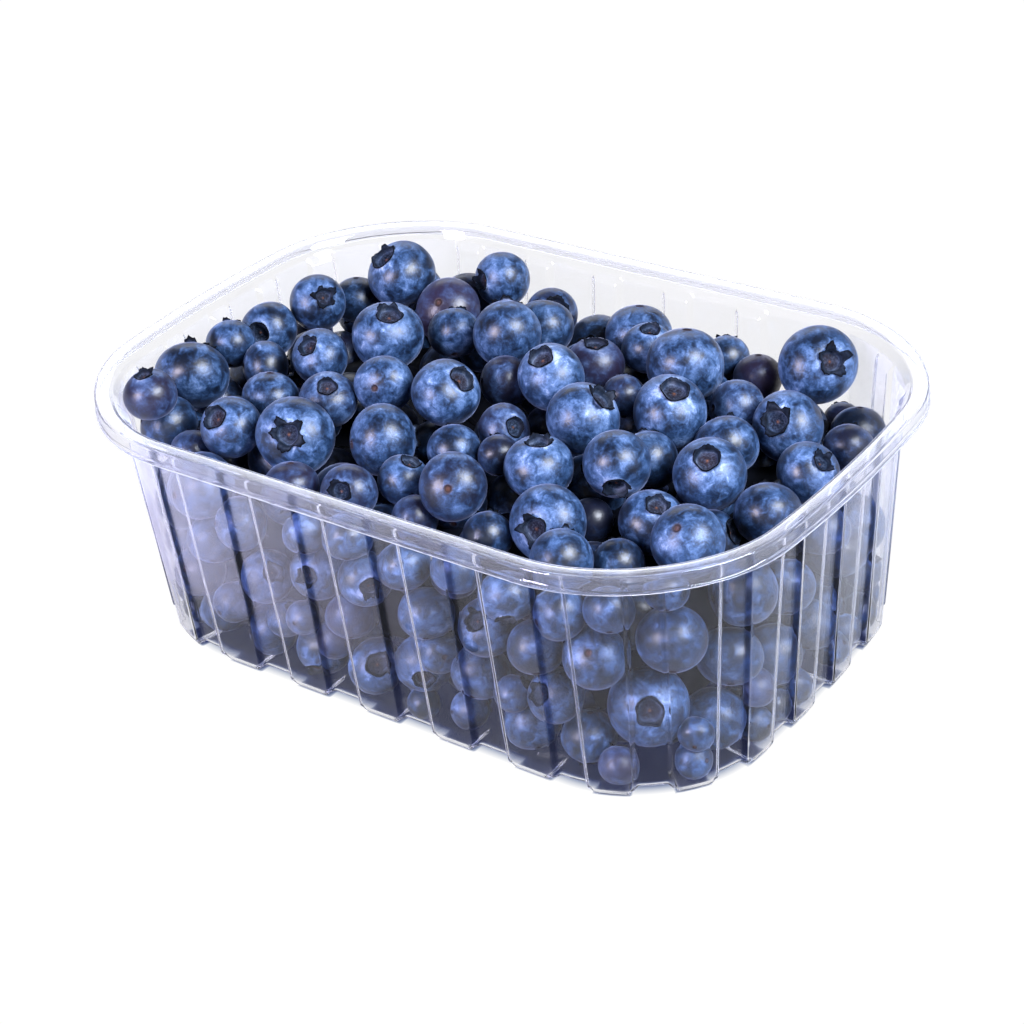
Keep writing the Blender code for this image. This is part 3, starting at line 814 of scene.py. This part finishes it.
def make_berries(name, berries, columns, skin_rings, rng, material):
    """One joined piece of berries, each (centre, diameter, crown's way, look, bloom, plum)."""
    points, marks, nears, tones, places, quads, triangles = [], [], [], [], [], [], []
    one_quads, one_triangles = berry_faces(columns, CROWN_RINGS + skin_rings + SCAR_RINGS)
    start = 0
    for centre, diameter, direction, look, bloom, plum in berries:
        form, mark, near = berry_form(rng, look, columns, skin_rings)
        turn = turn_to(direction, rng.uniform(0, 2 * math.pi))
        points.append(form @ turn.T * diameter / 2 + np.array(centre))
        marks.append(np.column_stack([mark, np.ones(len(mark))]))
        nears.append(near)
        brown = rng.uniform(0.4, 0.9) if look == "stem" else rng.uniform(0, 0.25)
        tones.append(np.tile([bloom, plum, brown, 1.0], (len(form), 1)))
        places.append(form * diameter / 2 / MM + rng.uniform(-500, 500, 3))
        quads.append(one_quads + start)
        triangles.append(one_triangles + start)
        start += len(form)
    piece = make_piece(name, np.vstack(points), np.vstack(quads), np.vstack(triangles), material, {
        "parts": ("FLOAT_COLOR", "color", np.vstack(marks)),
        "near_crown": ("FLOAT", "value", np.concatenate(nears)),
        "tone": ("FLOAT_COLOR", "color", np.vstack(tones)),
        "skin_place": ("FLOAT_VECTOR", "vector", np.vstack(places)),
    })
    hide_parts("berry_heap")
    return piece


# ---- the heap -------------------------------------------------------------
# Berries set over the top of the heap and behind the front walls, in
# millimetres: x, y, z, diameter, the way the crown points (towards the viewer's
# right and up, as shares), look, bloom (0 bare to 1 full) and, if any, plum (0 to 1).
SET_BERRIES = [
    (-58, 36, 62, 17.7, -.6, .55, "open", .6), (-36, 50, 59, 15.0, -.80, -.1, "star", .6),
    (-70, 16, 60, 14.3, .35, .15, "star", .5), (-77, 4, 56, 14.7, -.3, -.2, "open", .6),
    (-78, -9, 58, 12.8, 0, .9, "away", .5), (-78, -24, 56, 18.3, .1, .9, "star", .5),
    (-72, -44, 62, 13.0, -.2, .8, "away", .4, .3), (-74, -38, 50, 14.6, .9, -.2, "away", .4),
    (-53, -38, 55, 15.2, -.5, .35, "open", .6), (-35, -35, 56, 18.7, -.15, 0, "star", .7),
    (-54, -22, 55, 14.1, 0, -.9, "away", .6), (-66, -10, 55, 12.4, .9, 0, "away", .6),
    (-50, -7, 60, 14.2, -.45, .4, "star", .6), (-38, -19, 57, 13.9, 0, .5, "open", .6, .1),
    (-38, 5, 63, 17.6, .1, .65, "open", .7), (-27, -11, 60, 14.3, -.3, -.2, "stem", .8),
    (-16, -26, 55, 17.1, .9, .1, "away", .7), (-10, -9, 61, 16.5, .6, .45, "open", .8),
    (-42, 34, 56, 16.6, -.3, .2, "stem", .3, .45), (-70, 31, 54, 13.0, 0, -.9, "away", .4),
    (-29, 20, 59, 13.4, 0, .9, "away", .7), (-12, 19, 63, 17.1, 0, .92, "star", .7),
    (-5, 8, 57, 13.0, .9, 0, "away", .3, .2), (-4, -34, 52, 12.7, .3, .8, "open", .5),
    (12, -36, 56, 15.7, -.15, -.1, "stem", .5, .1), (-12, -44, 52, 13.2, -.3, 0, "star", .4, .2),
    (-27, -47, 51, 12.5, 0, -.9, "away", .4, .3), (-63, -42, 48, 10.6, 0, .9, "away", .4, .2),
    (-1, -19, 53, 13.0, 0, .9, "open", .6), (4, -41, 48, 10.9, 0, .9, "away", .5, .2),
    (-18, 46, 55, 13.5, .2, .25, "star", .4, .1), (-12, 34, 58, 15.0, 0, .9, "away", .6),
    (8, 9, 61, 16.1, -.35, .6, "open", .9), (8, 27, 56, 14.1, 0, .8, "open", .4, .4),
    (7, 48, 54, 16.8, 0, -.9, "away", .6), (16, 38, 57, 13.1, .1, .8, "open", .7),
    (31, 32, 59, 19.2, 0, -.95, "away", .8), (30, 52, 51, 11.8, 0, .9, "away", .5),
    (41, 48, 50, 12.6, 0, -.9, "away", .1, .5), (57, 49, 57, 18.8, .3, .08, "star", .7),
    (61, 28, 52, 16.7, -.5, .15, "star", .6), (46, 30, 52, 13.2, .9, 0, "away", .7, .1),
    (33, 40, 49, 8.7, 0, .9, "away", .4), (37, 15, 56, 18.0, .1, .65, "open", .8),
    (20, 21, 53, 11.0, 0, .9, "away", .4, .2), (23, 0, 58, 17.5, .55, .6, "star", .8),
    (62, 52, 42, 9.6, 0, .9, "away", .2, .2), (70, 45, 44, 13.7, 0, -.9, "away", .4),
    (74, 33, 47, 12.6, 0, .9, "away", .4, .1), (73, 16, 49, 14.5, .4, .4, "star", .6),
    (52, 15, 51, 15.2, 0, .9, "away", .7), (58, -2, 54, 17.0, -.15, .45, "open", .7),
    (40, -12, 57, 16.2, -.05, -.75, "star", .7), (40, 1, 51, 13.8, 0, .9, "away", .5),
    (24, -20, 56, 16.2, 0, .85, "star", .7), (5, -7, 54, 12.5, .5, .1, "open", .4, .2),
    (10, -16, 53, 10.2, 0, .9, "away", .3, .1), (34, -31, 50, 17.5, -.45, -.2, "star", .7),
    (37, -19, 45, 10.8, .9, 0, "away", .1, .1), (45, -42, 50, 14.4, 0, .9, "away", .6),
    (52, -31, 45, 12.2, 0, .9, "away", .5), (52, -17, 48, 15.0, .15, .6, "open", .5),
    (65, -23, 50, 16.6, -.35, .4, "stem", .7), (73, -2, 48, 15.5, 0, .9, "away", .5),
    (22, -38, 47, 11.6, 0, .9, "away", .4),
]
WALL_BERRIES = [
    (57, -49, 33, 14.4, -.25, .2, "stem", .8), (71, -40, 37, 15.8, 0, .9, "away", .7),
    (64, -40, 17, 18.4, 0, -.1, "open", .8), (78, -22, 41, 15.6, .9, .2, "away", .8),
    (76, -25, 25, 14.5, 0, .9, "away", .7), (73, -28, 9, 14.5, -.5, -.45, "star", .8),
    (52, -46, 8, 12.5, 0, -.9, "away", .8), (46, -49, 19, 12.8, -.7, .1, "open", .7),
    (43, -51, 32, 13.0, 0, .9, "away", .7), (30, -51, 33, 13.4, -.4, .3, "star", .8),
    (9, -49, 15, 14.0, 0, -.6, "open", .8), (26, -50, 19, 13.8, .3, .9, "away", .8),
    (-19, -50, 32, 14.0, -.4, -.2, "open", .9), (-4, -51, 35, 13.0, .2, -.3, "star", .9),
    (9, -52, 43, 12.0, 0, .9, "away", .9), (-6, -49, 9, 13.6, .1, .1, "open", .8),
    (61, -48, 46, 11.6, 0, .9, "away", .8), (51, -52, 44, 11.8, .9, .3, "away", .8),
    (37, -52, 44, 12.4, 0, .9, "stem", .8), (24, -52, 47, 11.8, .3, .9, "away", .8),
    (13, -51, 31, 12.6, 0, .9, "away", .9), (38, -48, 8, 13.0, -.2, .9, "away", .8),
    (21, -49, 6, 9.6, .9, .1, "away", .8, .1), (-11, -50, 22, 12.0, 0, .9, "away", .7, .3),
    (-23, -48, 8, 13.5, .2, .9, "stem", .8), (-19, -53, 44, 10.6, 0, .9, "away", .9),
    (-36, -50, 25, 13.5, .3, .2, "star", .9), (-41, -51, 39, 13.0, .9, 0, "away", .9),
    (-53, -49, 30, 13.0, 0, .9, "away", .9), (-39, -48, 8, 13.0, .9, .1, "away", .8, .1),
    (79, -6, 33, 13.6, 0, .9, "away", .8), (77, -9, 16, 14.0, .9, .2, "stem", .8),
    (80, 9, 40, 12.6, 0, .9, "away", .8), (77, 8, 14, 13.0, .2, .9, "away", .7),
    (71, -41, 50, 10.0, 0, .9, "away", .7), (-6, -53, 47, 11.7, 0, .9, "away", .8),
    (-55, -47, 8, 12.8, 0, .9, "away", .7),
]
BERRY_ABOUT = (11.2, 17.0)          # diameters of the loose berries, in millimetres
LOOSE_BERRIES = 320
SMALL_ABOUT = (8.0, 10.5)           # and of the small ones that lie round the foot of the walls
SMALL_BERRIES = 130
SETTLING_TURNS = 240
FALL_STEP = 0.15 * MM               # how far they sink at each turn
LEAN_STEP = 0.2 * MM                # how far those within reach of a wall move towards it
WALL_REACH = 14 * MM
FLOOR_GAP = 1.2 * MM                # some sink between the feet, this far from the table
BELOW_SET = 7.5 * MM                # their middles stay this far below the set ones
LOOSE_TOP = FEET + 50 * MM
SET_OVERLAP = 1.8 * MM              # one that overlaps a set berry by more is left out
LOOSE_OVERLAP = 2.5 * MM            # and so is one that overlaps a loose berry by more
AT_WALL = 3.0 * MM
UNDER_TOP = 10 * MM
ON_BASE = BASE_LEVEL + 4 * MM


def crown_way(across, upward):
    """A crown's direction from its shares towards the viewer's right and up."""
    right, up, forward = camera_axes()
    rest = 1 - across ** 2 - upward ** 2
    towards = math.sqrt(max(rest, 0.0)) if abs(across) < 0.9 and abs(upward) < 0.9 else -0.35
    return right * across + up * upward - forward * towards


def read_set_berries(rows):
    berries = []
    for x, y, z, diameter, across, upward, look, bloom, *plum in rows:
        way = crown_way(across, upward)
        if look == "stem":
            way = -way
        place = np.array([x, y, z]) * MM + np.array([0, 0, FEET])
        berries.append((place, diameter * MM, tuple(way), look, bloom, plum[0] if plum else 0))
    return berries


def flute_hollows(rim, lengths):
    """How much further out a berry can lie at each length, where it bulges into a flute."""
    away = off_flutes(rim, lengths).min(axis=1)
    return FLUTE_DEPTH * np.clip((6.0 * MM - away) / (4.0 * MM), 0, 1)


def settle(rim, held, count, rng):
    """Packs loose berries under and round the held ones, inside the punnet's walls.

    Returns each one's place and radius, how far it lies from the wall and below
    the highest place that it may have, and the way out to the wall.
    """
    held_at = np.array([berry[0] for berry in held])
    held_radii = np.array([berry[1] for berry in held]) / 2
    small = np.arange(count) >= count - SMALL_BERRIES
    radii = np.where(small, rng.uniform(*SMALL_ABOUT, count),
                     rng.uniform(*BERRY_ABOUT, count)) / 2 * MM
    edge = rim.points[:-1:32]
    ways_out = rim.outward(rim.lengths[:-1:32])
    hollow = flute_hollows(rim, rim.lengths[:-1:32])
    at = rng.uniform(-1, 1, (count, 3)) * [78 * MM, 50 * MM, 19 * MM] + [0, 0, FEET + 27 * MM]
    round_foot = rim.total * rng.random(SMALL_BERRIES)
    at[small, :2] = rim.place(round_foot) - rim.outward(round_foot) * 17 * MM
    at[small, 2] = FEET + 8 * MM
    top_of = held_at[held_at[:, 2] > FEET + 42 * MM]
    reach = radii[:, None] + np.concatenate([radii, held_radii])[None, :]
    share = np.ones_like(reach)
    share[:, :count] = 0.5
    for turn in range(SETTLING_TURNS):
        falling = turn < 0.75 * SETTLING_TURNS
        apart = at[:, None, :] - np.vstack([at, held_at])[None, :, :]
        gap = np.sqrt((apart ** 2).sum(axis=2)) + 1e-9
        press = np.clip(reach - gap, 0, None) * share
        press[np.arange(count), np.arange(count)] = 0
        touching = np.maximum((press > 0).sum(axis=1), 1)
        at = at + (apart * (press / gap)[..., None]).sum(axis=1) * (1.5 / touching ** 0.5)[:, None]
        if falling:
            at[:, 2] -= FALL_STEP
        # Loose berries stay a little below the set ones.
        flat = ((at[:, None, :2] - top_of[None, :, :2]) ** 2).sum(axis=2)
        weight = 1 / (flat + (4 * MM) ** 2) ** 2
        limit = (weight * top_of[:, 2]).sum(axis=1) / weight.sum(axis=1) - BELOW_SET
        at[:, 2] = np.clip(at[:, 2], FEET + FLOOR_GAP + radii, np.minimum(limit, LOOSE_TOP))
        nearest = np.argmin(((at[:, None, :2] - edge[None]) ** 2).sum(axis=2), axis=1)
        out = ways_out[nearest]
        room = ((edge[nearest] - at[:, :2]) * out).sum(axis=1)
        room += hollow[nearest] - wall_inset(at[:, 2]) - radii
        # Those near the wall lean on it.
        lean = np.where((room > 0) & (room < WALL_REACH) & falling, LEAN_STEP, 0)
        at[:, :2] += out * (lean + np.minimum(room, 0))[:, None]
    # One that found no room is left out.
    gap = np.linalg.norm(at[:, None, :] - held_at[None], axis=2)
    fits = (radii[:, None] + held_radii[None] - gap).max(axis=1) < SET_OVERLAP
    apart = np.linalg.norm(at[:, None, :] - at[None], axis=2)
    crowded = radii[:, None] + radii[None] - apart > LOOSE_OVERLAP
    fits &= ~(crowded & (np.arange(count)[:, None] > np.arange(count))).any(axis=1)
    return at[fits], radii[fits], room[fits], (limit - at[:, 2])[fits], out[fits]


def make_core(rim, material):
    """The middle of the heap, well inside the berries that can be seen: one dark body of painted
    shade.
    """
    count = 72
    lengths = rim.total * np.arange(count) / count
    outward = rim.outward(lengths)
    places = rim.place(lengths)
    rows = []
    for height, more in ((10, 22), (12, 16), (20, 14), (30, 14), (38, 15), (41, 22), (42.5, 32)):
        inset = wall_inset(height * MM, more * MM)
        lumps = 0.8 * MM * np.sin(lengths / (3.1 * MM) + height)
        flat = places - outward * (inset + lumps)[:, None]
        rows.append(np.column_stack([flat, np.full(count, FEET + height * MM)]))
    here = np.arange(count)
    after = (here + 1) % count
    points = np.vstack(rows + [[[0, 0, rows[0][0, 2]], [0, 0, rows[-1][0, 2] + 1 * MM]]])
    bottom, top = len(points) - 2, len(points) - 1
    last = (len(rows) - 1) * count
    triangles = np.vstack([np.stack([np.full(count, bottom), after, here], axis=1),
                           np.stack([np.full(count, top), last + here, last + after], axis=1)])
    core = make_piece("painted_shade_core_of_heap", points, ring_quads(len(rows), count), triangles,
                      material)
    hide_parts("berry_heap")


def bloom_level(share):
    """Turns a berry's share of bloom into the level that its skin's pattern is lifted by."""
    return -0.02 + 0.13 * share


def make_heap(rim):
    skin = make_blueberry_skin()
    rng = np.random.default_rng(SEED)
    held = read_set_berries(SET_BERRIES)
    at_walls = read_set_berries(WALL_BERRIES)
    at, radii, from_wall, from_top, outward = settle(
        rim, held + at_walls, LOOSE_BERRIES + SMALL_BERRIES, rng)

    kinds = {look: [] for look in LOOKS}
    for place, diameter, way, look, bloom, plum in held + at_walls:
        # Those under the rim get a little less bloom, so a darker skin: painted shade for the light
        # that the wall and rim hold back.
        level = bloom_level(bloom) - (0.03 if place[2] < FEET + 48 * MM else 0)
        kinds[look].append((place, diameter, way, look, level, plum))
    names = {
        "star": "berries_star_crown",
        "open": "berries_open_crown",
        "stem": "berries_stem_end",
        "away": "berries_crown_turned_away",
    }
    for look, berries in kinds.items():
        columns, skin_rings = (46, 18) if look == "away" else (56, 23)
        make_berries(names[look], berries, columns, skin_rings, rng, skin)

    second, sides, base = [[], []], [[], []], []
    looks = list(LOOKS)
    for index in range(len(at)):
        look = looks[rng.integers(4)]
        way = rng.normal(size=3)
        bloom = bloom_level(rng.uniform(0.3, 0.9))
        plum = float(rng.choice([0.0, 0.0, 0.0, 0.1, 0.35]))
        if from_wall[index] < AT_WALL:
            # Most of those at the wall lie with their crowns turned in.
            way[:2] -= 1.3 * outward[index]
            # A little less bloom gives them a darker skin: painted shade for the light that the
            # wall holds back.
            bloom -= 0.03
            kind = sides[int(radii[index] > np.median(radii))]
        elif from_top[index] < UNDER_TOP:
            # Those under the topmost ones get less bloom, so a darker skin: painted shade for where
            # they lie under the top layer.
            bloom -= 0.06
            kind = second[int(radii[index] > np.median(radii))]
        elif at[index][2] - radii[index] < ON_BASE:
            kind = base
        else:
            continue
        kind.append((at[index], 2 * radii[index], tuple(way), look, bloom, plum))
    for name, berries, columns, skin_rings in (
            ("berries_small_at_sides", sides[0], 30, 12),
            ("berries_large_at_sides", sides[1], 34, 13),
            ("berries_small_under_top", second[0], 32, 12),
            ("berries_large_under_top", second[1], 36, 14),
            ("berries_on_base", base, 20, 7)):
        make_berries(name, berries, columns, skin_rings, rng, skin)
    make_core(rim, make_heap_shade())


rim = RimLine()
make_camera()
make_studio()
make_table(rim)
make_punnet(rim, make_clear_pet())
make_heap(rim)
